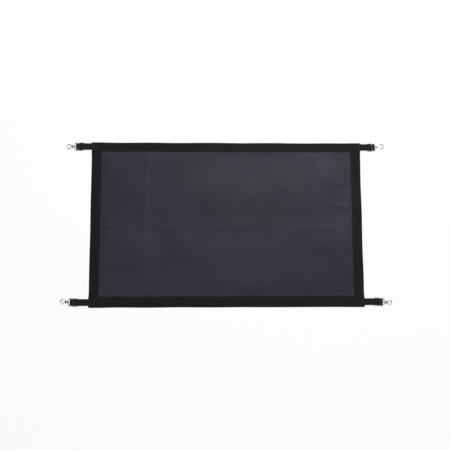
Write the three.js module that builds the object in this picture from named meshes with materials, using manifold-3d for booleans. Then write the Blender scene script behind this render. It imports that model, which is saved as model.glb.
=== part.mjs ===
// Door guard for a stable doorway: a coated sheet bound with folded tape, and at each corner a webbing
// strap with a slide adjuster and a swivel trigger snap. It lies flat, face up, on the plane z = 0.
// Millimetres. X runs along the guard, Y up its face, Z is its thickness.
import * as THREE from "three";
import { mergeVertices } from "three/addons/utils/BufferGeometryUtils.js";
import Module from "manifold-3d";

const wasm = await Module();
wasm.setup();

// ---- Driving dimensions ----
const GUARD_LENGTH = 1000;
const GUARD_HEIGHT = 610;
const CLEARANCE = 0.3;

// Cloth and tape.
const SHEET_THICKNESS = 1.0;
const TAPE_THICKNESS = 1.0;
const TAPE_WIDTH = 75;
const TOP_BAND_FRONT = 34;
const BOTTOM_BAND_FRONT = 40;
const SIDE_BAND_FRONT = 37;

// Corner straps.
const WEBBING_WIDTH = 25;
const WEBBING_THICKNESS = 1.4;
const SEWN_LENGTH = 26;
const TOP_STRAP_INSET = 17;
const BOTTOM_STRAP_INSET = 19.3;

// Slide adjuster: a flat three-bar frame.
const SLIDE_LENGTH = 20;
const SLIDE_BAR = 2.7;
const SLIDE_RAIL = 1.6;
const SLIDE_THICKNESS = 2.6;
const SLIDE_SIDE_PLAY = 0.9;
const SLIDE_END_TO_EYE = 6;
const FLOOR_GAP = 0.2;

// Snap: its eye.
const EYE_BAR = 2.8;
const EYE_SIDE_PLAY = 0.7;
const EYE_SIDE_ARM = 2.0;
const EYE_ARM_LENGTH = 4.4;
const EYE_LENGTH = 10.6;
const EYE_FRONT_WEB = 2.8;
const EYE_FRONT_WIDTH = 12;
const EYE_BOSS_RADIUS = 4.0;

// Snap: its hook, which turns in the eye's boss.
const STEM_RADIUS = 2.0;
const STEM_PLAY = 0.4;
const RIVET_RADIUS = 3.4;
const RIVET_THICKNESS = 2.2;
const SHOULDER_RADIUS = 3.9;
const RING_RADIUS = 8.1;
const PIVOT_TO_RING = 3.1;
const HOOK_WIRE_RADIUS = 1.9;
const NOSE_ANGLE = -110;
const SPINE_ANGLE = 140;
const CHEEK_HALF_THICKNESS = 3.9;
const GATE_SLOT_HALF = 2.4;

// Snap: its gate, on a pin across the slot.
const EYE_TO_PIVOT = 6.4;
const GATE_HALF_WIDTH = 1.2;
const GATE_BARREL_RADIUS = 2.0;
const GATE_THICKNESS = 2.2;
const THUMB_REACH = 7;
const THUMB_WIDTH = 2.6;
const PIN_RADIUS = 0.8;
const SPRING_WIRE_RADIUS = 0.19;
const SPRING_TURNS = 3;
const SPRING_PITCH = 0.43;

// Each corner: which side it is on, how far its slide sits from the guard's edge, and how far the
// slide and snap are turned in the plane of the guard, in degrees, towards +Y.
const CORNERS = [
  { name: "top_left", right: false, top: true, run: 38, turn: 0 },
  { name: "top_right", right: true, top: true, run: 36, turn: 5 },
  { name: "bottom_left", right: false, top: false, run: 47, turn: 4 },
  { name: "bottom_right", right: true, top: false, run: 47, turn: -4 },
];

// ---- Heights of the sewn layers, from the floor up ----
const LAYERS = [
  ["outer_back", TAPE_THICKNESS],
  ["side_back", TAPE_THICKNESS],
  ["sheet", SHEET_THICKNESS],
  ["side_front", TAPE_THICKNESS],
  ["outer_front", TAPE_THICKNESS],
  ["webbing", WEBBING_THICKNESS],
];
const layer = {};
let height = 0;
for (const [name, thickness] of LAYERS) {
  layer[name] = { low: height, high: height + thickness };
  height += thickness + CLEARANCE;
}
const webbingMid = (layer.webbing.low + layer.webbing.high) / 2;

// ---- Materials ----
const finish = (color, roughness, metalness) =>
  new THREE.MeshStandardMaterial({ color, roughness, metalness });
const coatedCloth = finish(0x39383f, 0.6, 0);
const tape = finish(0x202024, 0.85, 0);
const webbing = finish(0x1f1f23, 0.85, 0);
const nickel = finish(0xc4bcb2, 0.25, 1);
const springSteel = finish(0x8d8d8f, 0.35, 1);

// ---- Shape helpers ----
const radians = THREE.MathUtils.degToRad;
const point = (x, y) => new THREE.Vector2(x, y);
const onCircle = (cx, cy, radius, degrees) =>
  point(cx + radius * Math.cos(radians(degrees)), cy + radius * Math.sin(radians(degrees)));

function solidOf(geometry) {
  const bare = geometry.clone();
  bare.deleteAttribute("normal");
  bare.deleteAttribute("uv");
  const merged = mergeVertices(bare, 1e-4);
  return new wasm.Manifold(
    new wasm.Mesh({
      numProp: 3,
      vertProperties: merged.getAttribute("position").array,
      triVerts: new Uint32Array(merged.index.array),
    }),
  );
}

function geometryOf(solid) {
  const mesh = solid.getMesh();
  return new THREE.BufferGeometry()
    .setAttribute("position", new THREE.BufferAttribute(mesh.vertProperties, 3))
    .setIndex(new THREE.BufferAttribute(mesh.triVerts, 1))
    .toNonIndexed();
}

function meshOf(name, geometry, material) {
  geometry.computeVertexNormals();
  const mesh = new THREE.Mesh(geometry, material);
  mesh.name = name;
  return mesh;
}

// A flat plate: an outline in XY, from z = low to z = high.
function plate(shape, low, high) {
  return new THREE.ExtrudeGeometry(shape, {
    depth: high - low,
    bevelEnabled: false,
    curveSegments: 6,
  }).translate(0, 0, low);
}

// A round solid about the X axis, from a half outline of [x, radius] pairs that starts and ends on it.
function turned(outline, segments = 20) {
  const profile = outline.map(([x, radius]) => point(radius, x));
  return new THREE.LatheGeometry(profile, segments).rotateZ(-Math.PI / 2);
}

// A band of the given thickness and width that follows a line of points in the XZ plane.
function ribbon(line, thickness, width) {
  const left = [];
  const right = [];
  line.forEach((here, i) => {
    const into = here.clone().sub(line[Math.max(i - 1, 0)]).normalize();
    const out = line[Math.min(i + 1, line.length - 1)].clone().sub(here).normalize();
    const along = into.clone().add(out).normalize();
    const bend = Math.max(Math.abs(into.lengthSq() > 0 ? along.dot(into) : 1), 0.5);
    const side = point(-along.y, along.x).multiplyScalar(thickness / 2 / bend);
    left.push(here.clone().add(side));
    right.push(here.clone().sub(side));
  });
  const shape = new THREE.Shape([...left, ...right.reverse()]);
  return plate(shape, -width / 2, width / 2).rotateX(Math.PI / 2);
}

// ---- Sheet and binding ----
// Half the folded height of a band is the radius of its fold, and what it holds stops at that line.
const outerFold = (layer.outer_front.high - layer.outer_back.low) / 2;
const sideFold = (layer.side_front.high - layer.side_back.low) / 2;

function rectangle(halfX, halfY) {
  return new THREE.Shape([
    point(-halfX, -halfY),
    point(halfX, -halfY),
    point(halfX, halfY),
    point(-halfX, halfY),
  ]);
}

function sheetGeometry() {
  const halfX = GUARD_LENGTH / 2 - sideFold;
  const halfY = GUARD_HEIGHT / 2 - outerFold;
  return plate(rectangle(halfX, halfY), layer.sheet.low, layer.sheet.high);
}

// Tape folded in half round an edge: the section lies in XY with the fold at +X, and runs along Z.
function foldedTape(front, low, high, length) {
  const radius = (high - low) / 2;
  const middle = (high + low) / 2;
  const back = TAPE_WIDTH - front;
  const quarter = Math.PI / 2;
  const shape = new THREE.Shape();
  shape.moveTo(-back, low);
  shape.lineTo(-radius, low);
  shape.absarc(-radius, middle, radius, -quarter, quarter, false);
  shape.lineTo(-front, high);
  shape.lineTo(-front, high - TAPE_THICKNESS);
  shape.absarc(-radius, middle, radius - TAPE_THICKNESS, quarter, -quarter, true);
  shape.lineTo(-back, low + TAPE_THICKNESS);
  return plate(shape, -length / 2, length / 2).rotateX(Math.PI / 2);
}

function addBinding(root) {
  const sideLength = GUARD_HEIGHT - 2 * outerFold;
  const side = [layer.side_back.low, layer.side_front.high, sideLength];
  const outer = [layer.outer_back.low, layer.outer_front.high, GUARD_LENGTH];
  const bands = [
    ["binding_right", SIDE_BAND_FRONT, side, 0, GUARD_LENGTH / 2],
    ["binding_top", TOP_BAND_FRONT, outer, 90, GUARD_HEIGHT / 2],
    ["binding_left", SIDE_BAND_FRONT, side, 180, GUARD_LENGTH / 2],
    ["binding_bottom", BOTTOM_BAND_FRONT, outer, 270, GUARD_HEIGHT / 2],
  ];
  for (const [name, front, [low, high, length], facing, reach] of bands) {
    const band = meshOf(name, foldedTape(front, low, high, length).translate(reach, 0, 0), tape);
    band.rotation.z = radians(facing);
    root.add(band);
  }
}

// ---- Corner strap: X points outwards from the guard's edge ----
// The slide stands clear of the two layers of webbing that pass beneath its outer bar.
const slideLow = FLOOR_GAP + 2 * (WEBBING_THICKNESS + CLEARANCE);
const slideHeight = slideLow + SLIDE_THICKNESS / 2;
const slideBarOffset = (SLIDE_LENGTH - SLIDE_BAR) / 2;
const slideToEye = SLIDE_LENGTH / 2 + SLIDE_END_TO_EYE;
const underSlide = slideLow - CLEARANCE - WEBBING_THICKNESS / 2;
const overSlide = slideLow + SLIDE_THICKNESS + CLEARANCE + WEBBING_THICKNESS / 2;
const eyeHeight = CHEEK_HALF_THICKNESS + CLEARANCE;

function strapGeometry(corner) {
  const turnRoom = (WEBBING_WIDTH / 2) * Math.sin(radians(Math.abs(corner.turn)));
  const end = corner.run - CLEARANCE - turnRoom;
  const line = [
    point(-SEWN_LENGTH, webbingMid),
    point(CLEARANCE, webbingMid),
    point(corner.run - slideBarOffset - SLIDE_BAR, overSlide),
    point(end, overSlide),
  ];
  return ribbon(line, WEBBING_THICKNESS, WEBBING_WIDTH);
}

// The loop, with X = 0 at the slide's middle bar: down between the bars, under the outer bar, round
// the eye's bar, and back beneath to the middle bar, which its end wraps.
function loopGeometry() {
  const barCorner = EYE_BAR / Math.SQRT2;
  const wrap = barCorner + CLEARANCE + WEBBING_THICKNESS / 2;
  const returnHeight = underSlide - WEBBING_THICKNESS - CLEARANCE;
  const slotEdge = slideBarOffset - SLIDE_BAR / 2;
  const tailSide = -(SLIDE_BAR / 2 + CLEARANCE + WEBBING_THICKNESS / 2);
  const line = [
    point(0, overSlide),
    point(SLIDE_BAR / 2 + CLEARANCE, overSlide),
    point(slotEdge - CLEARANCE, underSlide),
    point(slideBarOffset + SLIDE_BAR / 2 + 0.4, underSlide),
  ];
  for (let angle = 130; angle >= -90; angle -= 20) {
    line.push(onCircle(slideToEye, eyeHeight, wrap, angle));
  }
  line.push(
    point(slideBarOffset + SLIDE_BAR, returnHeight),
    point(slotEdge, returnHeight),
    point(SLIDE_BAR / 2 + CLEARANCE, underSlide),
    point(tailSide, underSlide),
    point(tailSide, slideHeight),
  );
  return ribbon(line, WEBBING_THICKNESS, WEBBING_WIDTH);
}

function slideGeometry() {
  const half = SLIDE_THICKNESS / 2;
  const halfSlot = WEBBING_WIDTH / 2 + SLIDE_SIDE_PLAY;
  const slotLength = slideBarOffset - SLIDE_BAR;
  let frame = solidOf(
    plate(rectangle(SLIDE_LENGTH / 2, halfSlot + SLIDE_RAIL), -half, half),
  );
  for (const side of [-1, 1]) {
    const slot = plate(rectangle(slotLength / 2, halfSlot), -half - 1, half + 1);
    slot.translate((side * slideBarOffset) / 2, 0, 0);
    frame = frame.subtract(solidOf(slot));
  }
  return geometryOf(frame);
}

// ---- Snap: X = 0 on the eye's bar, X points outwards, the hook lies in XY ----
function eyeGeometry() {
  const barHalf = EYE_BAR / 2;
  const innerHalf = WEBBING_WIDTH / 2 + EYE_SIDE_PLAY;
  const outerHalf = innerHalf + EYE_SIDE_ARM;
  const frontHalf = EYE_FRONT_WIDTH / 2;
  const windowEnd = EYE_LENGTH - EYE_FRONT_WEB;
  const outline = new THREE.Shape([
    point(-barHalf, -outerHalf),
    point(EYE_ARM_LENGTH, -outerHalf),
    point(EYE_LENGTH, -frontHalf),
    point(EYE_LENGTH, frontHalf),
    point(EYE_ARM_LENGTH, outerHalf),
    point(-barHalf, outerHalf),
  ]);
  const window = [
    point(barHalf, -innerHalf),
    point(EYE_ARM_LENGTH - CLEARANCE, -innerHalf),
    point(windowEnd, CLEARANCE - frontHalf),
    point(windowEnd, frontHalf - CLEARANCE),
    point(EYE_ARM_LENGTH - CLEARANCE, innerHalf),
    point(barHalf, innerHalf),
  ];
  outline.holes.push(new THREE.Path(window));
  const frame = solidOf(plate(outline, -barHalf, barHalf));
  const boss = solidOf(
    turned([
      [windowEnd, 0],
      [windowEnd, EYE_BOSS_RADIUS],
      [EYE_LENGTH + CLEARANCE, EYE_BOSS_RADIUS],
      [EYE_LENGTH + CLEARANCE, 0],
    ]),
  );
  const bore = solidOf(
    turned([
      [windowEnd - 1, 0],
      [windowEnd - 1, STEM_RADIUS + STEM_PLAY],
      [EYE_LENGTH + 1, STEM_RADIUS + STEM_PLAY],
      [EYE_LENGTH + 1, 0],
    ]),
  );
  return geometryOf(frame.add(boss).subtract(bore));
}

const gatePivot = EYE_LENGTH + EYE_TO_PIVOT;
const ringCentre = gatePivot + PIVOT_TO_RING + RING_RADIUS;
const shoulderStart = EYE_LENGTH + 2 * CLEARANCE;
const rivetEnd = EYE_LENGTH - EYE_FRONT_WEB - CLEARANCE;
const cheekEnd = gatePivot + 2.9;
const slotTop = GATE_BARREL_RADIUS + 0.4;

function stemSolid() {
  return solidOf(
    turned([
      [rivetEnd - RIVET_THICKNESS, 0],
      [rivetEnd - RIVET_THICKNESS, RIVET_RADIUS * 0.7],
      [rivetEnd - RIVET_THICKNESS / 2, RIVET_RADIUS],
      [rivetEnd, RIVET_RADIUS],
      [rivetEnd, STEM_RADIUS],
      [shoulderStart, STEM_RADIUS],
      [shoulderStart, SHOULDER_RADIUS],
      [gatePivot - 3, SHOULDER_RADIUS],
      [gatePivot - 3, 0],
    ]),
  );
}

// The cheeks that hold the gate's pin, with the slot that the gate swings in.
function cheekSolid() {
  const outline = new THREE.Shape([
    point(shoulderStart + 1.2, -SHOULDER_RADIUS * 0.8),
    point(gatePivot - 2, -SHOULDER_RADIUS * 0.9),
    point(gatePivot + 1.2, -2.6),
    point(cheekEnd - 0.6, -1.4),
    point(cheekEnd, 0.4),
    point(cheekEnd + 0.4, 5.9),
    point(gatePivot, 5.6),
    point(shoulderStart + 1.2, SHOULDER_RADIUS * 0.8),
  ]);
  const block = solidOf(plate(outline, -CHEEK_HALF_THICKNESS, CHEEK_HALF_THICKNESS));
  const slotStart = gatePivot - GATE_BARREL_RADIUS - 0.4;
  const slotOutline = new THREE.Shape([
    point(slotStart, -20),
    point(40, -20),
    point(40, slotTop),
    point(slotStart, slotTop),
  ]);
  const slot = solidOf(plate(slotOutline, -GATE_SLOT_HALF, GATE_SLOT_HALF));
  return block.subtract(slot);
}

// Round bar from the back of the cheeks, round the end of the hook, to the nose.
function hookBarSolid() {
  class HookLine extends THREE.Curve {
    getPoint(t, target = new THREE.Vector3()) {
      const lead = 0.12;
      const start = point(cheekEnd - 1.6, slotTop + HOOK_WIRE_RADIUS);
      const turnStart = onCircle(ringCentre, 0, RING_RADIUS, SPINE_ANGLE);
      const p =
        t < lead
          ? start.lerp(turnStart, t / lead)
          : onCircle(
              ringCentre,
              0,
              RING_RADIUS,
              THREE.MathUtils.lerp(SPINE_ANGLE, NOSE_ANGLE, (t - lead) / (1 - lead)),
            );
      return target.set(p.x, p.y, 0);
    }
  }
  const section = new THREE.Shape();
  section.absarc(0, 0, HOOK_WIRE_RADIUS, 0, 2 * Math.PI, false);
  return solidOf(
    new THREE.ExtrudeGeometry(section, {
      steps: 22,
      curveSegments: 4,
      bevelEnabled: false,
      extrudePath: new HookLine(),
    }),
  );
}

function roundPin(radius, low, high, x, segments = 12) {
  return new THREE.CylinderGeometry(radius, radius, high - low, segments)
    .rotateX(Math.PI / 2)
    .translate(x, 0, (low + high) / 2);
}

function hookGeometry() {
  const bore = PIN_RADIUS + CLEARANCE;
  const reach = CHEEK_HALF_THICKNESS + 1;
  const body = stemSolid().add(cheekSolid()).add(hookBarSolid());
  return geometryOf(body.subtract(solidOf(roundPin(bore, -reach, reach, gatePivot))));
}

// The gate lever lies from its pin to the inside of the nose, with a thumb tab on the outer side.
const gateLow = CLEARANCE - GATE_SLOT_HALF;
const gateHigh = gateLow + GATE_THICKNESS;

function gateGeometry() {
  const reach = RING_RADIUS - HOOK_WIRE_RADIUS - CLEARANCE - GATE_HALF_WIDTH;
  const tip = onCircle(ringCentre, 0, reach, NOSE_ANGLE - 5);
  const pivot = point(gatePivot, 0);
  const along = tip.clone().sub(pivot).normalize();
  const across = point(-along.y, along.x).multiplyScalar(GATE_HALF_WIDTH);
  const lever = new THREE.Shape([
    pivot.clone().sub(across),
    tip.clone().sub(across),
    tip.clone().add(along.clone().multiplyScalar(0.8)),
    tip.clone().add(across),
    pivot.clone().add(across),
  ]);
  const thumb = new THREE.Shape([
    point(gatePivot - THUMB_WIDTH / 2, 0),
    point(gatePivot - THUMB_WIDTH / 2, -THUMB_REACH),
    point(gatePivot + THUMB_WIDTH / 2, -THUMB_REACH),
    point(gatePivot + THUMB_WIDTH, 0),
  ]);
  const parts = [lever, thumb].map((shape) => solidOf(plate(shape, gateLow, gateHigh)));
  const barrel = solidOf(roundPin(GATE_BARREL_RADIUS, gateLow, gateHigh, gatePivot, 16));
  const bore = solidOf(
    roundPin(PIN_RADIUS + CLEARANCE, gateLow - 1, gateHigh + 1, gatePivot),
  );
  return geometryOf(barrel.add(parts[0]).add(parts[1]).subtract(bore));
}

function springGeometry() {
  const radius = PIN_RADIUS + CLEARANCE + SPRING_WIRE_RADIUS;
  const base = gateHigh + CLEARANCE + SPRING_WIRE_RADIUS;
  class Coil extends THREE.Curve {
    getPoint(t, target = new THREE.Vector3()) {
      const angle = t * SPRING_TURNS * 2 * Math.PI;
      const x = gatePivot + radius * Math.cos(angle);
      return target.set(x, radius * Math.sin(angle), base + t * SPRING_TURNS * SPRING_PITCH);
    }
  }
  const section = new THREE.Shape();
  section.absarc(0, 0, SPRING_WIRE_RADIUS, 0, 2 * Math.PI, false);
  return new THREE.ExtrudeGeometry(section, {
    steps: SPRING_TURNS * 10,
    curveSegments: 3,
    bevelEnabled: false,
    extrudePath: new Coil(),
  });
}

// ---- One corner: strap, slide, loop and snap ----
function addCorner(root, corner) {
  const inset = corner.top ? TOP_STRAP_INSET : BOTTOM_STRAP_INSET;
  const y = (corner.top ? 1 : -1) * (GUARD_HEIGHT / 2 - inset);
  const edge = new THREE.Group();
  edge.position.set(((corner.right ? 1 : -1) * GUARD_LENGTH) / 2, y, 0);
  edge.rotation.z = corner.right ? 0 : Math.PI;
  root.add(edge);
  edge.add(meshOf("strap_" + corner.name, strapGeometry(corner), webbing));

  const adjuster = new THREE.Group();
  adjuster.position.set(corner.run, 0, 0);
  adjuster.rotation.z = radians(corner.right ? corner.turn : -corner.turn);
  edge.add(adjuster);
  adjuster.add(meshOf("strap_loop_" + corner.name, loopGeometry(), webbing));
  const slide = meshOf("slide_" + corner.name, slideGeometry(), nickel);
  slide.position.z = slideHeight;
  adjuster.add(slide);

  const snap = new THREE.Group();
  snap.position.set(slideToEye, 0, eyeHeight);
  adjuster.add(snap);
  snap.add(meshOf("snap_eye_" + corner.name, eyeGeometry(), nickel));

  // The nose lies on the lower side of the guard on both sides, so the left hooks are turned over.
  const turningHook = new THREE.Group();
  turningHook.rotation.x = corner.right ? 0 : Math.PI;
  snap.add(turningHook);
  turningHook.add(
    meshOf("snap_hook_" + corner.name, hookGeometry(), nickel),
    meshOf("snap_gate_" + corner.name, gateGeometry(), nickel),
    meshOf("gate_pin_" + corner.name, gatePinGeometry(), springSteel),
    meshOf("gate_spring_" + corner.name, springGeometry(), springSteel),
  );
}

function gatePinGeometry() {
  return roundPin(PIN_RADIUS, -CHEEK_HALF_THICKNESS, CHEEK_HALF_THICKNESS, gatePivot);
}

// ---- The whole guard ----
const guard = new THREE.Group();
guard.add(meshOf("front_sheet", sheetGeometry(), coatedCloth));
addBinding(guard);
for (const corner of CORNERS) {
  addCorner(guard, corner);
}

export default guard;
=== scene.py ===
"""A stable door guard: coated cloth bound with folded tape, held across a doorway by four webbing
straps, each with a slide adjuster and a swivel trigger snap. It lies face up on a pale floor.
Sizes are in millimetres until a mesh is made; X runs along the guard, Y up its face."""

import math
import random

import bmesh
import bpy
import numpy as np
from mathutils import Matrix, Vector


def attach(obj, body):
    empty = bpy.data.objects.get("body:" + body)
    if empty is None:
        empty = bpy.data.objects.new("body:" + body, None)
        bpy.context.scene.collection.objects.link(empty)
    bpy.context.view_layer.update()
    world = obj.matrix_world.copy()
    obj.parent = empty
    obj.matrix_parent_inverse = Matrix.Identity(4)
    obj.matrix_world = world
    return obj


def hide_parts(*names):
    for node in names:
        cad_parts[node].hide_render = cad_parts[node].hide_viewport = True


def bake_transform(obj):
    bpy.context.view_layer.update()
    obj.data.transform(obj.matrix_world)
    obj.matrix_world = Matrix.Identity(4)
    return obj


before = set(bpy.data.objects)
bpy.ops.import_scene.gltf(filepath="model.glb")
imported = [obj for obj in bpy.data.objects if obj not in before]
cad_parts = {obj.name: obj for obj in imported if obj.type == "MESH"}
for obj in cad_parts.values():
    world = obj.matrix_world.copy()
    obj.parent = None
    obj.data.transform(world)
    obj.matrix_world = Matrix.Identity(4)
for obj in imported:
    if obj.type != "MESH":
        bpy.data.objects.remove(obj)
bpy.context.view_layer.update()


# ---- Front sheet ----
# One rectangle of plain-weave polyester with a coating on its back, held only by its binding. It
# has been folded in a packet, so pressed creases and a few slack wrinkles are still in it.

MM = 0.001
HALF_LENGTH = 500.0
HALF_HEIGHT = 305.0
SHEET_HALF = (498.2, 301.9)
SHEET_THICKNESS = 0.7
TAPE_THICKNESS = 0.9
TOP_BAND, BOTTOM_BAND, SIDE_BAND = 34.0, 40.0, 37.0

# Heights at mid-thickness: where one tape holds the sheet, and at a corner, where two do.
HEIGHTS = {
    "outer_back": (0.5, 0.5),
    "side_back": (0.5, 1.8),
    "sheet": (1.45, 3.1),
    "side_front": (2.4, 4.4),
    "outer_front": (2.4, 5.7),
}
FLOOR_TOUCH = 0.5
# Across the guard and up it: where the second tape starts to lift the cloth, and where it has.
CROSSING_X, CROSSING_Y = (446.0, 460.0), (250.0, 263.0)
# The same for where the corners start to hold the guard down to the floor.
HELD_X, HELD_Y = (380.0, 440.0), (190.0, 245.0)
USUAL_LIFT, MOST_LIFT = 0.45, 2.2
# How the slack dies away towards the side, top and bottom bindings, and how deep the gathers reach.
SLACK_X, SLACK_TOP, SLACK_BOTTOM = (435.0, 464.0), (245.0, 272.0), (240.0, 266.0)
GATHER_REACH = 26.0
CREASE_SOFTNESS = 3.0
TOUCH_SOFTNESS = 0.12
SHEET_MESH_STEP = 4.4


def eased(value, start, end):
    """0 before start, 1 after end, and smooth between them."""
    share = np.clip((value - start) / (end - start), 0.0, 1.0)
    return share * share * (3.0 - 2.0 * share)


def ripples(seed, count, shortest, longest, steepness):
    """Gentle waves in the cloth: a function of x and y, with steepness as the slope of each."""
    draw = random.Random(seed)
    waves = []
    for _ in range(count):
        length = draw.uniform(shortest, longest)
        heading = draw.uniform(0.0, math.pi)
        phase = draw.uniform(0.0, 2.0 * math.pi)
        pace = 2.0 * math.pi / length
        waves.append((pace, heading, phase, steepness / pace))

    def height(x, y):
        total = np.zeros(np.broadcast(x, y).shape)
        for pace, heading, phase, size in waves:
            along = x * math.cos(heading) + y * math.sin(heading)
            total = total + size * np.sin(pace * along + phase)
        return total

    return height


slack_waves = ripples(seed=11, count=10, shortest=120.0, longest=460.0, steepness=0.017)
gathers = ripples(seed=31, count=8, shortest=24.0, longest=70.0, steepness=0.03)
band_waves = ripples(seed=23, count=7, shortest=60.0, longest=260.0, steepness=0.008)


def corner_share(x, y):
    """1 where both tapes cross at a corner, 0 elsewhere along the edges."""
    return eased(np.abs(x), *CROSSING_X) * eased(np.abs(y), *CROSSING_Y)


def lift(x, y):
    """How far the guard stands off the floor: a little here and there, none at its corners."""
    away = 1.0 - eased(np.abs(x), *HELD_X) * eased(np.abs(y), *HELD_Y)
    return away * np.clip(USUAL_LIFT + band_waves(x, y), 0.0, MOST_LIFT)


def layer_height(layer, x, y):
    single, crossed = HEIGHTS[layer]
    return single + (crossed - single) * corner_share(x, y) + lift(x, y)


# Each pressed crease: the axis that it lies across, where, its height, and how wide its bend is.
PRESSED_CREASES = (
    ("y", -12.0, 1.7, 24.0),
    ("x", -300.0, 1.0, 18.0),
    ("x", 2.0, -1.3, 22.0),
    ("x", 290.0, 1.2, 18.0),
)
# Each slack wrinkle: its two ends, its height, and its width.
WRINKLES = (
    ((464, 196), (352, 232), 1.3, 9.0),
    ((464, 150), (346, 172), 1.4, 9.0),
    ((464, 62), (362, 84), 1.5, 9.0),
    ((464, -2), (378, 26), 1.2, 8.0),
    ((186, -36), (262, -104), 1.0, 10.0),
    ((222, -28), (300, -86), 0.9, 10.5),
    ((252, -18), (338, -60), 0.9, 9.0),
    ((-318, -44), (-236, -92), 0.5, 11.0),
    ((-210, -20), (-120, -66), 0.5, 12.0),
    ((-462, 120), (-405, 96), 1.0, 7.0),
    ((-462, -150), (-398, -128), 1.1, 7.0),
    ((-150, 270), (-128, 214), 1.0, 7.0),
    ((118, -262), (150, -205), 1.1, 8.0),
    ((-236, -262), (-252, -212), 0.9, 7.0),
    ((60, 90), (150, 132), 0.9, 9.0),
)


def wrinkle_height(x, y, start, end, height, width):
    """One wrinkle: a soft wandering ridge that fades at both ends."""
    run = np.array(end, float) - np.array(start, float)
    length = math.hypot(*run)
    along = ((x - start[0]) * run[0] + (y - start[1]) * run[1]) / length
    across = ((x - start[0]) * run[1] - (y - start[1]) * run[0]) / length
    reach = along / length
    taper = eased(reach, -0.25, 0.1) * (1.0 - eased(reach, 0.35, 1.1))
    crest = np.exp(-((across + 5.0 * np.sin(along / 30.0)) / width) ** 2)
    return height * taper * crest


def sheet_height(x, y):
    """The sheet at mid-thickness: tight under its binding and slack between."""
    slack = slack_waves(x, y)
    for axis, place, height, width in PRESSED_CREASES:
        distance = (y if axis == "y" else x) - place
        slack = slack + height * np.exp(-np.sqrt(distance**2 + CREASE_SOFTNESS) / width)
    for wrinkle in WRINKLES:
        slack = slack + wrinkle_height(x, y, *wrinkle)
    to_side = HALF_LENGTH - SIDE_BAND - np.abs(x)
    to_top, to_bottom = HALF_HEIGHT - TOP_BAND - y, HALF_HEIGHT - BOTTOM_BAND + y
    to_seam = np.maximum(np.minimum(np.minimum(to_side, to_top), to_bottom), 0.0)
    slack = slack + gathers(x, y) * np.exp(-to_seam / GATHER_REACH)
    inside = (
        (1.0 - eased(np.abs(x), *SLACK_X))
        * (1.0 - eased(y, *SLACK_TOP))
        * (1.0 - eased(-y, *SLACK_BOTTOM))
    )
    above = layer_height("sheet", x, y) + inside * slack - FLOOR_TOUCH
    return FLOOR_TOUCH + 0.5 * (above + np.sqrt(above**2 + TOUCH_SOFTNESS))


def spaced(low, high, step, rounding):
    """Places from low to high about a step apart, closer at both ends, where the edge rounds."""
    edge = rounding * np.array([0.0, 0.12, 0.45, 1.0])
    count = max(2, round((high - low - 2.0 * rounding) / step) + 1)
    middle = np.linspace(low + rounding, high - rounding, count)
    return np.concatenate([low + edge[:-1], middle, (high - edge[:-1])[::-1]])


def edge_fullness(places, rounding):
    """How full the cloth is at each place, from a thin edge to its whole thickness inside."""
    inward = np.minimum(places - places[0], places[-1] - places) / rounding
    return np.sqrt(1.0 - (1.0 - np.clip(inward, 0.06, 1.0)) ** 2)


def closed_mesh(name, points, faces):
    """A mesh from points in millimetres, with every face turned outwards."""
    mesh = bpy.data.meshes.new(name)
    mesh.from_pydata((points * MM).tolist(), [], faces)
    facing_out = bmesh.new()
    facing_out.from_mesh(mesh)
    bmesh.ops.recalc_face_normals(facing_out, faces=facing_out.faces)
    facing_out.to_mesh(mesh)
    facing_out.free()
    return mesh


def new_piece(name, mesh, finish):
    mesh.shade_smooth()
    mesh.materials.append(finish)
    piece = bpy.data.objects.new(name, mesh)
    bpy.context.scene.collection.objects.link(piece)
    return piece


def cloth_piece(name, middle, fullness, lay, finish):
    """A closed piece of cloth about a grid of points. fullness is half its thickness at each point,
    and lay is where each point was in the flat cloth, which its weave follows."""
    rows, columns = middle.shape[:2]
    normal = np.cross(np.gradient(middle, axis=1), np.gradient(middle, axis=0))
    normal /= np.linalg.norm(normal, axis=2, keepdims=True)
    faces_of_cloth = [middle + normal * fullness[..., None], middle - normal * fullness[..., None]]
    points = np.concatenate([side.reshape(-1, 3) for side in faces_of_cloth])
    index = np.arange(rows * columns).reshape(rows, columns)
    other = index + rows * columns
    quads = []
    for grid, turn in ((index, 1), (other, -1)):
        corners = (grid[:-1, :-1], grid[1:, :-1], grid[1:, 1:], grid[:-1, 1:])
        quads.append(np.stack([c.ravel() for c in corners], 1)[:, ::turn])
    rim = np.concatenate([index[0, :-1], index[:-1, -1], index[-1, :0:-1], index[:0:-1, 0]])
    ahead = np.roll(rim, -1)
    quads.append(np.stack([rim, ahead, ahead + rows * columns, rim + rows * columns], 1))
    mesh = closed_mesh(name, points, np.concatenate(quads).tolist())
    flat = np.zeros((2, rows, columns, 3))
    flat[..., :2] = lay
    flat_places = mesh.attributes.new("lay", "FLOAT_VECTOR", "POINT")
    flat_places.data.foreach_set("vector", flat.ravel() * MM)
    return new_piece(name, mesh, finish)


# Outputs of Blender's nodes that aren't their first.
ATTRIBUTE_VECTOR, OBJECT_PLACE, MIXED_COLOUR = 1, 3, 2


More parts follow.
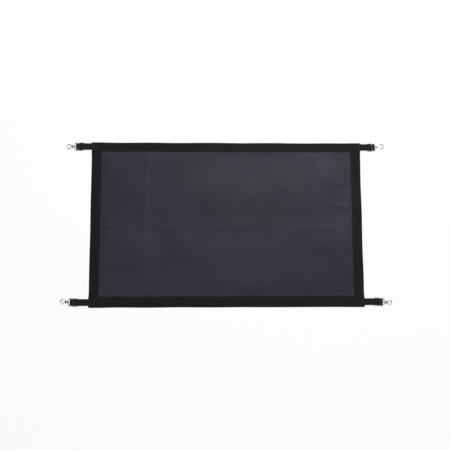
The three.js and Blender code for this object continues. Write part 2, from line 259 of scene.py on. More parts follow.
class Socket:
    """One value in a material. Arithmetic on it adds the Math nodes that work it out."""

    def __init__(self, tree, output=None):
        self.tree = tree
        self.output = output

    def add(self, kind, settings=(), inputs=(), output=0):
        node = self.tree.nodes.new(kind)
        for name, value in dict(settings).items():
            if name == "stops":
                self.set_stops(node.color_ramp, value)
            else:
                setattr(node, name, value)
        for key, value in dict(inputs).items():
            if isinstance(value, Socket):
                self.tree.links.new(value.output, node.inputs[key])
            else:
                node.inputs[key].default_value = value
        return Socket(self.tree, node.outputs[output] if node.outputs else None)

    @staticmethod
    def set_stops(ramp, stops):
        while len(ramp.elements) < len(stops):
            ramp.elements.new(1.0)
        for element, (position, level) in zip(ramp.elements, stops):
            element.position = position
            element.color = (level, level, level, 1.0)

    def maths(self, operation, *values):
        return self.add("ShaderNodeMath", {"operation": operation}, enumerate(values))

    def __add__(self, other):
        return self.maths("ADD", self, other)

    def __radd__(self, other):
        return self.maths("ADD", other, self)

    def __sub__(self, other):
        return self.maths("SUBTRACT", self, other)

    def __rsub__(self, other):
        return self.maths("SUBTRACT", other, self)

    def __mul__(self, other):
        return self.maths("MULTIPLY", self, other)

    def __rmul__(self, other):
        return self.maths("MULTIPLY", other, self)

    def sine(self):
        return self.maths("SINE", self)

    def size(self):
        return self.maths("ABSOLUTE", self)

    def larger(self, other):
        return self.maths("MAXIMUM", self, other)

    def part(self, axis):
        return self.add("ShaderNodeSeparateXYZ", (), {"Vector": self}, "XYZ".index(axis))

    def stretched(self, x, y, z):
        inputs = {0: self, 1: (x, y, z)}
        return self.add("ShaderNodeVectorMath", {"operation": "MULTIPLY"}, inputs)

    def noise(self, scale, detail=3.0, roughness=0.55):
        inputs = {"Vector": self, "Scale": scale, "Detail": detail, "Roughness": roughness}
        return self.add("ShaderNodeTexNoise", (), inputs)

    def ramp(self, *stops):
        return self.add("ShaderNodeValToRGB", {"stops": stops}, {"Fac": self})

    def eased(self, start, end):
        settings = {"interpolation_type": "SMOOTHSTEP"}
        return self.add("ShaderNodeMapRange", settings, {0: self, 1: start, 2: end})

    def colours(self, low, high):
        inputs = {0: self, 6: (*low, 1.0), 7: (*high, 1.0)}
        return self.add("ShaderNodeMix", {"data_type": "RGBA"}, inputs, MIXED_COLOUR)

    def bump(self, distance, strength=1.0):
        inputs = {"Height": self, "Distance": distance, "Strength": strength}
        return self.add("ShaderNodeBump", (), inputs)


def new_finish(name):
    """An empty material. Nodes are added to it through the socket that comes with it."""
    material = bpy.data.materials.new(name)
    material.use_nodes = True
    material.node_tree.nodes.clear()
    return material, Socket(material.node_tree)


def flat_cloth(start):
    """Where a point was in the flat cloth, in metres: X across its width and Y along its length."""
    return start.add("ShaderNodeAttribute", {"attribute_name": "lay"}, (), ATTRIBUTE_VECTOR)


def close_finish(start, surface):
    shader = start.add("ShaderNodeBsdfPrincipled", (), surface)
    start.add("ShaderNodeOutputMaterial", (), {"Surface": shader})


def plain_weave(lay, thread):
    """Height of a plain weave, whose threads go over and under in turn."""
    across = lay.part("X") * (math.pi / thread)
    along = lay.part("Y") * (math.pi / thread)
    over = (across.sine() * along.sine()).size()
    crossing = (across * 0.5).sine() * (along * 0.5).sine()
    return over.maths("SQRT", over) * 0.8 + crossing * 0.2


coated_cloth, start = new_finish("coated_cloth")
lay = flat_cloth(start)
weave = plain_weave(lay, thread=0.55 * MM)
# Painted sheen: large soft patches of lighter and darker tone, as an uneven cloth's sheen gives.
painted_sheen_patches = lay.noise(scale=3.2, detail=4.0)
slub = lay.stretched(1.0, 14.0, 1.0).noise(scale=260.0, detail=2.0)
handling = lay.noise(scale=11.0, detail=5.0, roughness=0.62)
# Painted light and shade on the facets between the pressed creases: the cloth is lighter below the
# middle crease towards the left, and a little lighter above it towards the right.
above_fold = lay.part("Y").eased(-0.06, 0.03)
rightwards = lay.part("X").eased(-0.48, 0.48)
painted_facet_light = above_fold * rightwards * 0.10 + (1.0 - above_fold) * (1.0 - rightwards) * 0.30
tone = painted_sheen_patches * 0.70 + painted_facet_light + slub * 0.16 + weave * 0.12 - 0.19
close_finish(
    start,
    {
        "Base Color": tone.colours((0.0150, 0.0143, 0.0218), (0.0345, 0.0330, 0.0530)),
        "Roughness": handling * 0.22 + 0.42,
        "Specular IOR Level": 0.20,
        "Sheen Weight": 0.03,
        "Sheen Roughness": 0.4,
        "Sheen Tint": (0.80, 0.78, 1.0, 1.0),
        "Normal": (weave * 0.8 + handling * 0.6).bump(0.00012, 0.55),
    },
)

columns = spaced(-SHEET_HALF[0], SHEET_HALF[0], SHEET_MESH_STEP, SHEET_THICKNESS / 2)
rows = spaced(-SHEET_HALF[1], SHEET_HALF[1], SHEET_MESH_STEP, SHEET_THICKNESS / 2)
across, along = np.meshgrid(columns, rows)
fullness = SHEET_THICKNESS / 2 * np.minimum(
    edge_fullness(columns, SHEET_THICKNESS / 2)[None, :],
    edge_fullness(rows, SHEET_THICKNESS / 2)[:, None],
)
front_sheet = cloth_piece(
    "front_cloth",
    np.stack([across, along, sheet_height(across, along)], 2),
    fullness,
    np.stack([across, along], 2),
    coated_cloth,
)
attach(front_sheet, "guard")
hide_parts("front_sheet")


# ---- Edge binding ----
# Woven polyester tape 75 wide, folded over each edge of the sheet and sewn through. The two side
# tapes go on first, and the top and bottom ones run over their ends. The top tape's ends lap.

TAPE_WIDTH = 75.0
SIDE_TAPE_HALF_RUN = HALF_HEIGHT - 3.1
# The lap of the top tape: where it starts to thicken and has, and where its cut end comes.
LAP_START, LAP_END = (-67.0, -58.0), (-3.5, -2.3)
LAP_MIDDLE = -3.0
USUAL_SET_IN, MOST_SET_IN = 0.5, 1.6
PUCKER_SHARE, PUCKER_RANGE = 0.35, (-0.12, 0.5)
TAPE_MESH_STEP, FRONT_MESH_STEP, BACK_MESH_STEP = 3.2, 2.6, 4.5



def ribbed(lay, rib_pitch, cord_pitch):
    """Heights of a narrow fabric's ribs, across its width, and of the cords along it."""
    rib = (lay.part("Y") * (math.pi / rib_pitch)).sine().size()
    cord = (lay.part("X") * (math.pi / cord_pitch)).sine().size()
    return rib, cord


binding_tape, start = new_finish("binding_tape")
lay = flat_cloth(start)
rib, cord = ribbed(lay, rib_pitch=1.1 * MM, cord_pitch=1.6 * MM)
fibres = lay.stretched(1.0, 5.0, 1.0).noise(scale=700.0, detail=3.0)
wear = lay.noise(scale=9.0, detail=5.0, roughness=0.6)
# Painted light: each tape is lighter towards the right end of the guard, where the lamp stands.
painted_light_rightwards = start.add("ShaderNodeTexCoord", (), (), OBJECT_PLACE).part("X").eased(-0.5, 0.5)
tone = rib * cord * 0.35 + fibres * 0.45 + wear * 0.35 + painted_light_rightwards * 0.22 - 0.2
close_finish(
    start,
    {
        "Base Color": tone.colours((0.0042, 0.0042, 0.0055), (0.0120, 0.0120, 0.0158)),
        "Roughness": fibres * 0.2 + 0.66,
        "Specular IOR Level": 0.14,
        "Sheen Weight": 0.03,
        "Sheen Roughness": 0.5,
        "Normal": (rib * cord + fibres * 0.5).bump(0.00022, 0.7),
    },
)

pucker = ripples(seed=5, count=8, shortest=9.0, longest=46.0, steepness=0.022)
wander = ripples(seed=7, count=5, shortest=90.0, longest=380.0, steepness=0.006)


class Band:
    """One length of tape folded over an edge. Depth is measured inwards from the guard's edge."""

    def __init__(self, name, side, front, half_run):
        self.name = name
        self.side = side
        self.front = front
        self.half_run = half_run
        self.kind = "side" if side in ("left", "right") else "outer"

    def place(self, along, depth):
        if self.kind == "side":
            sign = 1.0 if self.side == "right" else -1.0
            return sign * (HALF_LENGTH - depth), along + 0.0 * depth
        sign = 1.0 if self.side == "top" else -1.0
        return along + 0.0 * depth, sign * (HALF_HEIGHT - depth)

    def set_in(self, along):
        """How far the edge wanders in from a straight line."""
        drift = wander(along, 0.0 * along + 311.0 * len(self.side))
        near_corner = eased(np.abs(along), 0.8 * self.half_run, self.half_run - 30.0)
        return np.clip(USUAL_SET_IN + drift, 0.0, MOST_SET_IN) * (1.0 - near_corner)

    def front_height(self, along, depth):
        x, y = self.place(along, depth)
        height = layer_height(self.kind + "_front", x, y)
        near_seam = eased(depth, 4.0, self.front - 4.0)
        puckered = np.clip(PUCKER_SHARE * pucker(x, y), *PUCKER_RANGE)
        height = height + (0.3 + 0.7 * near_seam) * puckered
        if self.side == "top":
            lapped = eased(along, *LAP_START) * (1.0 - eased(along, *LAP_END))
            height = height + TAPE_THICKNESS * lapped
        return height

    def back_height(self, along, depth):
        x, y = self.place(along, depth)
        return layer_height(self.kind + "_back", x, y)

    def middle(self, runs, folds):
        """Grid of mid-thickness points: from the front edge, round the fold, to the back edge."""
        along, start = runs[:, None], self.set_in(runs)[:, None]
        high = self.front_height(along, start + 3.0)
        low = self.back_height(along, start + 3.0)
        radius = (high - low) / 2.0
        turn_at = start + radius + TAPE_THICKNESS / 2.0
        grid = []
        for part, share in folds:
            if part == "fold":
                angle = math.pi * (0.5 - share)
                depth = turn_at - radius * math.cos(angle)
                height = (high + low) / 2.0 + radius * math.sin(angle)
            else:
                width = self.front if part == "front" else TAPE_WIDTH - self.front
                depth = turn_at + (width - turn_at + start) * share
                height = (self.front_height if part == "front" else self.back_height)(along, depth)
            x, y = self.place(along, depth)
            grid.append(np.stack(np.broadcast_arrays(x, y, height), 2))
        return np.concatenate(grid, 1)


def fold_places(width, step):
    """Shares of one side of the folded tape, from its edge, which rounds off, to the fold."""
    rounding = TAPE_THICKNESS / 2 / width
    edge = [1.0, 1.0 - 0.12 * rounding, 1.0 - 0.45 * rounding]
    return edge + list(np.linspace(1.0 - rounding, 0.0, max(3, round(width / step))))


BANDS = (
    Band("binding_left", "left", SIDE_BAND, SIDE_TAPE_HALF_RUN),
    Band("binding_right", "right", SIDE_BAND, SIDE_TAPE_HALF_RUN),
    Band("binding_top", "top", TOP_BAND, HALF_LENGTH),
    Band("binding_bottom", "bottom", BOTTOM_BAND, HALF_LENGTH),
)
for band in BANDS:
    runs = spaced(-band.half_run, band.half_run, TAPE_MESH_STEP, TAPE_THICKNESS / 2)
    if band.side == "top":
        runs = np.sort(np.concatenate([runs, LAP_MIDDLE + np.linspace(-1.2, 1.2, 9)]))
    front_shares = fold_places(band.front, FRONT_MESH_STEP)
    back_shares = fold_places(TAPE_WIDTH - band.front, BACK_MESH_STEP)
    folds = [("front", share) for share in front_shares]
    folds += [("fold", share) for share in np.linspace(0.0, 1.0, 9)[1:-1]]
    folds += [("back", share) for share in reversed(back_shares)]
    middle = band.middle(runs, folds)
    steps = np.linalg.norm(np.diff(middle[len(runs) // 3], axis=0), axis=1)
    width = np.concatenate([[0.0], np.cumsum(steps)])
    fullness = TAPE_THICKNESS / 2 * np.minimum(
        edge_fullness(width, TAPE_THICKNESS / 2)[None, :],
        edge_fullness(runs, TAPE_THICKNESS / 2)[:, None],
    )
    lay = np.stack(np.broadcast_arrays(width[None, :], runs[:, None]), 2)
    tape = cloth_piece(band.name + "_tape", middle, fullness, lay, binding_tape)
    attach(tape, "guard")
    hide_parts(band.name)


# ---- Seams of the binding ----
# Two rows of lockstitch in bonded polyester thread hold each folded tape to the sheet. Each stitch
# rises a little from the tape and dives into it at both ends.

STITCH_PITCH = 3.6
STITCH_LENGTH = 3.0
SEAM_ROWS = (2.6, 8.0)
SEAM_END = 4.0
THREAD_RADIUS = 0.26
THREAD_SIDES = 7
# Rings along one stitch: share of its length, share of the thread's girth, and rise from the seam.
STITCH_RINGS = (
    (0.0, 0.25, -0.34),
    (0.12, 0.8, -0.1),
    (0.5, 1.0, 0.08),
    (0.88, 0.8, -0.1),
    (1.0, 0.25, -0.34),
)

sewing_thread, start = new_finish("sewing_thread")
place = start.add("ShaderNodeTexCoord", (), (), OBJECT_PLACE)
strands = place.noise(scale=1500.0, detail=2.0)
close_finish(
    start,
    {
        "Base Color": strands.colours((0.014, 0.014, 0.017), (0.046, 0.046, 0.054)),
        "Roughness": strands * 0.25 + 0.45,
        "Specular IOR Level": 0.3,
        "Normal": strands.bump(0.00008, 0.6),
    },
)


def stitched(name, starts, ends):
    """One mesh of many stitches, each from a start to an end point, in millimetres."""
    starts, ends = np.array(starts, float), np.array(ends, float)
    up = np.array([0.0, 0.0, 1.0])
    forward = ends - starts
    across = np.cross(up, forward)
    across /= np.linalg.norm(across, axis=1, keepdims=True)
    points = []
    for share, girth, rise in STITCH_RINGS:
        for k in range(THREAD_SIDES):
            angle = 2.0 * math.pi * k / THREAD_SIDES
            out = THREAD_RADIUS * girth * math.cos(angle) * across
            over = (THREAD_RADIUS * girth * math.sin(angle) + rise) * up
            points.append(starts + share * forward + out + over)
    per_stitch = len(points)
    around = range(THREAD_SIDES)
    faces = [list(around)[::-1], [per_stitch - THREAD_SIDES + k for k in around]]
    for ring in range(0, per_stitch - THREAD_SIDES, THREAD_SIDES):
        for k in around:
            n = (k + 1) % THREAD_SIDES
            faces.append([ring + k, ring + n, ring + THREAD_SIDES + n, ring + THREAD_SIDES + k])
    firsts = range(0, per_stitch * len(starts), per_stitch)
    all_faces = [[first + i for i in face] for first in firsts for face in faces]
    mesh = closed_mesh(name, np.stack(points, 1).reshape(-1, 3), all_faces)
    piece = new_piece(name, mesh, sewing_thread)
    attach(piece, "guard")
    return piece


for band in BANDS:
    count = int(2.0 * (band.half_run - SEAM_END) / STITCH_PITCH)
    first = -band.half_run + SEAM_END + STITCH_PITCH * np.arange(count)
    ends_of_stitches = []
    for along in (first, first + STITCH_LENGTH):
        rows_of_seam = []
        for from_edge in SEAM_ROWS:
            depth = band.front - from_edge + band.set_in(along)
            x, y = band.place(along, depth)
            height = band.front_height(along, depth) + TAPE_THICKNESS / 2 + 0.06
            rows_of_seam.append(np.stack([x, y, height], 1))
        ends_of_stitches.append(np.concatenate(rows_of_seam))
    stitched(band.name + "_seam", *ends_of_stitches)


# ---- Corner straps ----
# Polypropylene webbing 25 wide. At each corner its end is sewn on the binding with a boxed cross,
# and it runs out to the middle bar of the slide. It sags a little on the way.

WEBBING_WIDTH = 25.0
WEBBING_THICKNESS = 1.4
SEWN_LENGTH = 26.0
SEWN_HEIGHT = 7.0
STRAP_HEIGHT = 7.2
STRAP_SAG = 0.9
TURNING_LENGTH = 15.0
RIB_PITCH = 1.3
RIB_HEIGHT = 0.09
TOP_INSET, BOTTOM_INSET = 17.0, 19.3
WEBBING_MESH_STEP = 1.1
CROSS_PITCH = 2.6

webbing, start = new_finish("webbing")
lay = flat_cloth(start)
rib, cord = ribbed(lay, rib_pitch=RIB_PITCH * MM, cord_pitch=1.4 * MM)
fibres = lay.stretched(1.0, 4.0, 1.0).noise(scale=900.0, detail=3.0)
wear = lay.noise(scale=30.0, detail=4.0, roughness=0.6)
tone = rib * cord * 0.5 + fibres * 0.35 + wear * 0.3 - 0.1
close_finish(
    start,
    {
        "Base Color": tone.colours((0.0036, 0.0036, 0.0046), (0.0125, 0.0125, 0.0155)),
        "Roughness": fibres * 0.2 + 0.55,
        "Specular IOR Level": 0.16,
        "Sheen Weight": 0.02,
        "Sheen Roughness": 0.5,
        "Normal": (rib * cord + fibres * 0.4).bump(0.0003, 0.8),
    },
)


class Corner:
    """One corner of the guard. Out is along its strap and v is across it, turned with the snap."""

    def __init__(self, name, right, top, run, turn):
        self.name = name
        self.right = right
        self.run = run
        self.turn = math.radians(turn if right else -turn)
        side = 1.0 if right else -1.0
        y = HALF_HEIGHT - TOP_INSET if top else BOTTOM_INSET - HALF_HEIGHT
        self.edge = np.array([side * HALF_LENGTH, y])
        self.side = side
        angle = (0.0 if right else math.pi) + self.turn
        self.out = np.array([math.cos(angle), math.sin(angle)])
        self.slide = self.edge + np.array([side * run, 0.0])
        self.slide_body = "slide_" + name
        self.loop_body = "loop_" + name

    def from_edge(self, along, across, height):
        """A point of the strap: along runs straight out from the guard, across is to its left."""
        x = self.edge[0] + self.side * along
        y = self.edge[1] + self.side * across
        return np.stack(np.broadcast_arrays(x, y, height), -1)

    def from_slide(self, along, across, height):
        x = self.slide[0] + self.out[0] * along - self.out[1] * across
        y = self.slide[1] + self.out[1] * along + self.out[0] * across
        return np.stack(np.broadcast_arrays(x, y, height), -1)

    def point(self, along, height):
        return Vector(self.from_slide(along, 0.0, height)) * MM


CORNERS = (
    Corner("top_left", right=False, top=True, run=38.0, turn=0.0),
    Corner("top_right", right=True, top=True, run=36.0, turn=5.0),
    Corner("bottom_left", right=False, top=False, run=47.0, turn=4.0),
    Corner("bottom_right", right=True, top=False, run=47.0, turn=-4.0),
)


def webbing_places():
    """Places across the webbing."""
    half = WEBBING_WIDTH / 2
    return spaced(-half, half, WEBBING_MESH_STEP, WEBBING_THICKNESS / 2)


def webbing_fullness(run, width, cut_at):
    """Half the thickness at each point, with rounded selvedges, cross ribs, and one end cut."""
    from_cut = np.abs(run - cut_at) / (WEBBING_THICKNESS / 3)
    end = np.sqrt(1.0 - (1.0 - np.clip(from_cut, 0.06, 1.0)) ** 2)
    ribs = RIB_HEIGHT * (np.abs(np.sin(math.pi * run / RIB_PITCH)) - 1.0)
    selvedge = edge_fullness(width, WEBBING_THICKNESS / 2)
    return ((WEBBING_THICKNESS / 2 + ribs) * end)[:, None] * selvedge[None, :]


for corner in CORNERS:
    run = spaced(-SEWN_LENGTH, corner.run, RIB_PITCH / 4, WEBBING_THICKNESS / 3)
    width = webbing_places()
    turned = np.clip((run - corner.run + TURNING_LENGTH) / TURNING_LENGTH, 0.0, 1.0)
    shift = TURNING_LENGTH * math.tan(corner.turn) * (turned**3 - turned**2)
    heading = np.arctan(math.tan(corner.turn) * (3.0 * turned**2 - 2.0 * turned))
    free = np.clip((run - 3.0) / (corner.run - 15.0), 0.0, 1.0)
    rise = eased(run, -4.0, 6.0) * (STRAP_HEIGHT - SEWN_HEIGHT)
    height = SEWN_HEIGHT + rise - STRAP_SAG * np.sin(math.pi * free) ** 2
    along = run[:, None] - np.sin(heading)[:, None] * width[None, :]
    across = shift[:, None] + np.cos(heading)[:, None] * width[None, :]
    middle = corner.from_edge(along, across, height[:, None])
    lay = np.stack(np.broadcast_arrays(width[None, :], run[:, None]), 2)
    fullness = webbing_fullness(run, width, cut_at=-SEWN_LENGTH)
    strap = cloth_piece("webbing_strap_" + corner.name, middle, fullness, lay, webbing)
    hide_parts("strap_" + corner.name)
    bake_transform(strap)

    # The boxed cross: four sides and two diagonals, in the same thread as the binding.
    low, high = -SEWN_LENGTH + 3.0, -3.5
    half = WEBBING_WIDTH / 2 - 2.6
    box = [(low, -half), (high, -half), (high, half), (low, half)]
    lines = [(box[k], box[(k + 1) % 4]) for k in range(4)] + [(box[0], box[2]), (box[1], box[3])]
    starts, ends = [], []
    for begin, finish in lines:
        begin, finish = np.array(begin), np.array(finish)
        count = round(float(np.linalg.norm(finish - begin)) / CROSS_PITCH)
        for k in range(count):
            for share, kept in ((0.08, starts), (0.92, ends)):
                at = begin + (finish - begin) * (k + share) / count
                top = SEWN_HEIGHT + WEBBING_THICKNESS / 2 - 0.02
                kept.append(corner.from_edge(at[0], at[1], top))
    stitched("boxed_cross_" + corner.name, starts, ends)


# ---- Slides ----
# A flat three-bar frame for 25 webbing, cast in zinc, tumbled, and plated in a dark nickel. The
# strap passes over its inner bar and the loop folds round its middle bar, so that both legs of
# the loop run beneath its outer bar.


def plated(name, dark, bright, polish):
    """Nickel plate: slightly clouded, and duller where it has been rubbed. polish is how rough."""
    finish, start = new_finish(name)
    place = start.add("ShaderNodeTexCoord", (), (), OBJECT_PLACE)
    cloud = place.noise(scale=160.0, detail=4.0)
    rubbed = place.stretched(1.0, 3.0, 1.0).noise(scale=900.0, detail=3.0)
    pits = place.noise(scale=2600.0, detail=2.0)
    close_finish(
        start,
        {
            "Base Color": cloud.ramp((0.35, 0.0), (0.65, 1.0)).colours(dark, bright),
            "Metallic": 1.0,
            "Roughness": rubbed * 0.22 + cloud * 0.12 + polish,
            "Normal": (rubbed * 0.5 + pits * 0.5).bump(0.00006, 0.5),
        },
    )
    return finish


def cast(node, grain, rounds, finish):
    """A cast skin over a CAD node: its shape in a fine even mesh, with every edge tumbled round."""
    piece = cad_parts[node]
    skin = piece.modifiers.new("cast_skin", "REMESH")
    skin.mode = "VOXEL"
    skin.voxel_size = grain * MM
    skin.use_smooth_shade = True
    tumbled = piece.modifiers.new("tumbled_edges", "SMOOTH")
    tumbled.factor = 0.5
    tumbled.iterations = rounds
    for slot in piece.material_slots:
        slot.material = finish


dark_nickel = plated("dark_nickel", (0.055, 0.053, 0.052), (0.125, 0.120, 0.115), polish=0.26)
for corner in CORNERS:
    cast("slide_" + corner.name, grain=0.28, rounds=7, finish=dark_nickel)


# ---- Strap loops ----
# The same webbing goes down between the slide's bars, round the bar of the snap's eye, and back
# beneath itself to the middle bar, which its end wraps.

SLIDE_TO_EYE = 16.0
EYE_HEIGHT = 4.2
WRAP_RADIUS = 2.98
# Along from the slide's middle bar, and up: the way down to the eye, and the way back.
LOOP_OUT = ((0.0, 7.2), (1.65, 7.2), (7.0, 2.6), (10.4, 2.6))
LOOP_BACK = ((11.35, 0.9), (7.3, 0.9), (1.65, 2.6), (-2.35, 2.6), (-2.35, 4.9))


def rounded(line, share, times):
    """A line of points with each corner cut, over and over, into a smooth bend."""
    for _ in range(times):
        cut = [line[0]]
        for here, there in zip(line[:-1], line[1:]):
            cut += [here + (there - here) * share, there + (here - there) * share]
        line = np.array(cut + [line[-1]])
    return line


def evenly(line, step):
    """The same line, with points a step apart."""
    walked = np.concatenate([[0.0], np.cumsum(np.linalg.norm(np.diff(line, axis=0), axis=1))])
    places = np.linspace(0.0, walked[-1], round(walked[-1] / step))
    return places, np.stack([np.interp(places, walked, line[:, k]) for k in range(2)], 1)


around_eye = [
    (
        SLIDE_TO_EYE + WRAP_RADIUS * math.cos(math.radians(angle)),
        EYE_HEIGHT + WRAP_RADIUS * math.sin(math.radians(angle)),
    )
    for angle in range(130, -91, -10)
]
loop_line = np.array([*LOOP_OUT, *around_eye, *LOOP_BACK])
path, line = evenly(rounded(loop_line, share=0.2, times=3), RIB_PITCH / 4)
for corner in CORNERS:
    width = webbing_places()
    middle = corner.from_slide(line[:, :1], width[None, :], line[:, 1:])
    run = path + corner.run
    lay = np.stack(np.broadcast_arrays(width[None, :], run[:, None]), 2)
    fullness = webbing_fullness(run, width, cut_at=run[-1])
    loop = cloth_piece("webbing_loop_" + corner.name, middle, fullness, lay, webbing)
    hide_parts("strap_loop_" + corner.name)
    middle_bar = corner.point(LOOP_OUT[1][0], LOOP_BACK[-1][1])
    past_outer_bar = corner.point(LOOP_OUT[-1][0], LOOP_BACK[-1][1])
    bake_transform(loop)


# ---- Snap eyes ----
# A flat cast eye whose straight bar holds the webbing. Its arms close to a round boss, which is
# bored for the hook's stem. The whole snap is plated in bright nickel with a warm tint.

bright_nickel = plated("bright_nickel", (0.345, 0.310, 0.275), (0.550, 0.505, 0.455), polish=0.12)
for corner in CORNERS:
    cast("snap_eye_" + corner.name, grain=0.25, rounds=8, finish=bright_nickel)


# ---- Snap hooks ----
# Cast with the stem that turns in the eye. Two cheeks hold the gate, and the round bar of the hook
# goes from them, round the ring that it clips to, to the nose.

for corner in CORNERS:
    cast("snap_hook_" + corner.name, grain=0.24, rounds=7, finish=bright_nickel)


# ---- Snap gates ----
# A small cast lever between the cheeks of each hook, plated like the rest of the snap. One end
# closes on the nose, and the thumb tab opens it.

for corner in CORNERS:
    cast("snap_gate_" + corner.name, grain=0.18, rounds=6, finish=bright_nickel)


# ---- Gate pins ----
# Drawn steel pins that the gates turn on, pressed through both cheeks of each hook. Each end is
# peened over into a low dome.

EYE_TO_GATE_PIVOT = 17.0
# Radius and height of one half of the pin, from the tip of its head inwards.
PIN_OUTLINE = (
    (0.0, 4.32),
    (0.35, 4.28),
    (0.75, 4.14),
    (1.02, 3.98),
    (1.06, 3.88),
    (0.8, 3.8),
    (0.8, 2.0),
)
PIN_SIDES = 28

spring_steel, start = new_finish("spring_steel")
place = start.add("ShaderNodeTexCoord", (), (), OBJECT_PLACE)
drawn = place.noise(scale=1800.0, detail=3.0)
close_finish(
    start,
    {
        "Base Color": drawn.colours((0.20, 0.20, 0.20), (0.36, 0.355, 0.35)),
        "Metallic": 1.0,
        "Roughness": drawn * 0.25 + 0.25,
        "Normal": drawn.bump(0.00003, 0.4),
    },
)


def at_gate(shape, name, corner):
    """Makes a shape built about a gate's pivot a piece in its place."""
    bmesh.ops.recalc_face_normals(shape, faces=shape.faces)
    shape.transform(gate_frame(corner))
    mesh = bpy.data.meshes.new(name)
    shape.to_mesh(mesh)
    shape.free()
    return new_piece(name, mesh, spring_steel)


def join_rings(shape, rings):
    """Faces between each ring of vertices and the next."""
    for ring, after in zip(rings[:-1], rings[1:]):
        for k in range(len(ring)):
            n = (k + 1) % len(ring)
            shape.faces.new((ring[k], after[k], after[n], ring[n]))


def gate_frame(corner):
    """The frame of one gate's pivot: x out along the snap, z along its pin."""
    turned_over = Matrix.Rotation(0.0 if corner.right else math.pi, 4, "X")
    heading = Matrix.Rotation(math.atan2(corner.out[1], corner.out[0]), 4, "Z")
    origin = Matrix.Translation(corner.point(SLIDE_TO_EYE + EYE_TO_GATE_PIVOT, EYE_HEIGHT))
    return origin @ heading @ turned_over


outline = list(PIN_OUTLINE) + [(radius, -height) for radius, height in reversed(PIN_OUTLINE)]
for corner in CORNERS:
    pin = bmesh.new()
    rings = []
    for radius, height in outline[1:-1]:
        turns = [2.0 * math.pi * k / PIN_SIDES for k in range(PIN_SIDES)]
        ring = [(radius * math.cos(a) * MM, radius * math.sin(a) * MM, height * MM) for a in turns]
        rings.append([pin.verts.new(point) for point in ring])
    join_rings(pin, rings)
    for ring, end in ((rings[0], outline[0]), (rings[-1], outline[-1])):
        tip = pin.verts.new((0.0, 0.0, end[1] * MM))
        for k in range(PIN_SIDES):
            pin.faces.new((tip, ring[k], ring[(k + 1) % PIN_SIDES]))
    piece = at_gate(pin, "peened_pin_" + corner.name, corner)
    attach(piece, "hook_" + corner.name)
    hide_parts("gate_pin_" + corner.name)


# ---- Gate springs ----
# Fine music wire wound three turns round each pin, in the space beside the gate, which it pushes
# shut. The coil is made without its two legs.

COIL_RADIUS = 1.29
COIL_TURNS = 3.0
COIL_PITCH = 0.43
COIL_START = 0.59
WIRE_RADIUS = 0.19
WIRE_SIDES = 10
STEPS_PER_TURN = 28

coil = []
for k in range(round(COIL_TURNS * STEPS_PER_TURN) + 1):
    angle = 2.0 * math.pi * k / STEPS_PER_TURN
    height = COIL_START + COIL_PITCH * k / STEPS_PER_TURN
    coil.append(Vector((COIL_RADIUS * math.cos(angle), COIL_RADIUS * math.sin(angle), height)))
for corner in CORNERS:
    wire = bmesh.new()
    rings = []
    for k, here in enumerate(coil):
        forward = (coil[min(k + 1, len(coil) - 1)] - coil[max(k - 1, 0)]).normalized()
        outward = Vector((here.x, here.y, 0.0)).normalized()
        upward = forward.cross(outward)
        ring = []
        for j in range(WIRE_SIDES):
            angle = 2.0 * math.pi * j / WIRE_SIDES
            offset = outward * math.cos(angle) + upward * math.sin(angle)
            ring.append(wire.verts.new((here + offset * WIRE_RADIUS) * MM))
        rings.append(ring)
    join_rings(wire, rings)
    wire.faces.new(rings[0])
    wire.faces.new(rings[-1][::-1])
    piece = at_gate(wire, "wound_spring_" + corner.name, corner)
    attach(piece, "hook_" + corner.name)
    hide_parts("gate_spring_" + corner.name)


# ---- Floor, light and camera ----
# The guard lies on a plain white floor, seen from almost straight above. One large soft lamp lights
# it, with white surroundings that are darker overhead, so that the cloth doesn't shine.

# Light Path's outputs for camera, glossy and transmission rays.
SEEN_RAYS = (0, 3, 6)
FLOOR_HALF = 6.0
FLOOR_DROP = 0.0003
BACKDROP_SHARE = 0.88
FILL_LIGHT = 0.42
CEILING = 0.12
CEILING_CLIMB = (0.45, 0.9)
LAMP_POWER = 46.0
LAMP_PLACE = (0.5, 1.15, 2.2)
LAMP_SIZE = 1.5


def seen_by_rays(start):
    """1 for rays from the camera, off a glossy surface, or through a clear one."""
    camera_ray, glossy_ray, transmission_ray = (
        start.add("ShaderNodeLightPath", (), (), output) for output in SEEN_RAYS
    )
    return camera_ray.larger(glossy_ray).larger(transmission_ray)


floor_finish, start = new_finish("studio_floor")
seen = seen_by_rays(start)
paper = start.add("ShaderNodeTexCoord", (), (), OBJECT_PLACE).noise(scale=3.0)
matt = start.add("ShaderNodeBsdfDiffuse", (), {"Color": paper.colours((0.90,) * 3, (0.93,) * 3)})
glow = start.add("ShaderNodeEmission", (), {"Color": (1, 1, 1, 1), "Strength": 1.0})
mixed = start.add("ShaderNodeMixShader", (), {0: seen * BACKDROP_SHARE, 1: matt, 2: glow})
start.add("ShaderNodeOutputMaterial", (), {"Surface": mixed})

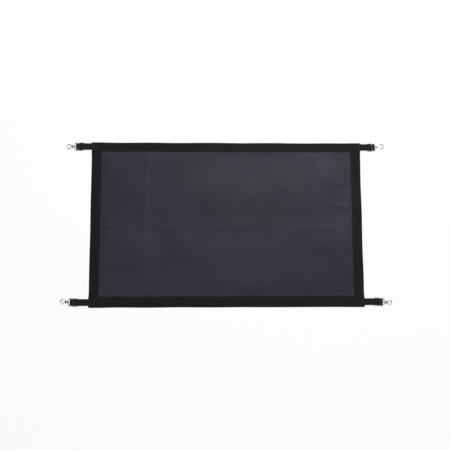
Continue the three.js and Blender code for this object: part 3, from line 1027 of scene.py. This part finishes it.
signs = ((-1, -1), (1, -1), (1, 1), (-1, 1))
corners_of_floor = [(x * FLOOR_HALF, y * FLOOR_HALF, -FLOOR_DROP) for x, y in signs]
mesh = bpy.data.meshes.new("floor")
mesh.from_pydata(corners_of_floor, [], [(0, 1, 2, 3)])
mesh.materials.append(floor_finish)
floor = bpy.data.objects.new("floor", mesh)
bpy.context.scene.collection.objects.link(floor)

world = bpy.data.worlds.new("studio")
bpy.context.scene.world = world
world.use_nodes = True
world.node_tree.nodes.clear()
start = Socket(world.node_tree)
seen = seen_by_rays(start)
climb = start.add("ShaderNodeTexCoord").part("Z")
backdrop = 1.0 - climb.eased(*CEILING_CLIMB) * (1.0 - CEILING)
level = seen * (backdrop - FILL_LIGHT) + FILL_LIGHT
sky = start.add("ShaderNodeBackground", (), {"Color": (1, 1, 1, 1), "Strength": level})
start.add("ShaderNodeOutputWorld", (), {"Surface": sky})

lamp = bpy.data.lights.new("softbox", "AREA")
lamp.energy = LAMP_POWER
lamp.size = LAMP_SIZE
softbox = bpy.data.objects.new("softbox", lamp)
softbox.location = LAMP_PLACE
softbox.rotation_euler = Vector(LAMP_PLACE).to_track_quat("Z", "Y").to_euler()
bpy.context.scene.collection.objects.link(softbox)

CAMERA_TARGET = Vector((-0.00686, -0.00379, 0.0))
CAMERA_DISTANCE = 2.5
CAMERA_LENS = 54.41
CAMERA_HEIGHT, CAMERA_TURN, CAMERA_ROLL = (math.radians(a) for a in (82.39, -12.28, -0.2))
back = Vector(
    (
        math.sin(CAMERA_TURN) * math.cos(CAMERA_HEIGHT),
        -math.cos(CAMERA_TURN) * math.cos(CAMERA_HEIGHT),
        math.sin(CAMERA_HEIGHT),
    )
)
sideways = Vector((0.0, 1.0, 0.0)).cross(back).normalized()
upwards = back.cross(sideways)
rolled = sideways * math.cos(CAMERA_ROLL) + upwards * math.sin(CAMERA_ROLL)
lens = bpy.data.cameras.new("camera")
lens.lens = CAMERA_LENS
lens.sensor_width = 36.0
camera = bpy.data.objects.new("camera", lens)
place = Matrix((rolled, back.cross(rolled), back)).transposed().to_4x4()
camera.matrix_world = Matrix.Translation(CAMERA_TARGET + back * CAMERA_DISTANCE) @ place
bpy.context.scene.collection.objects.link(camera)
bpy.context.scene.camera = camera
bpy.context.scene.view_settings.view_transform = "Standard"
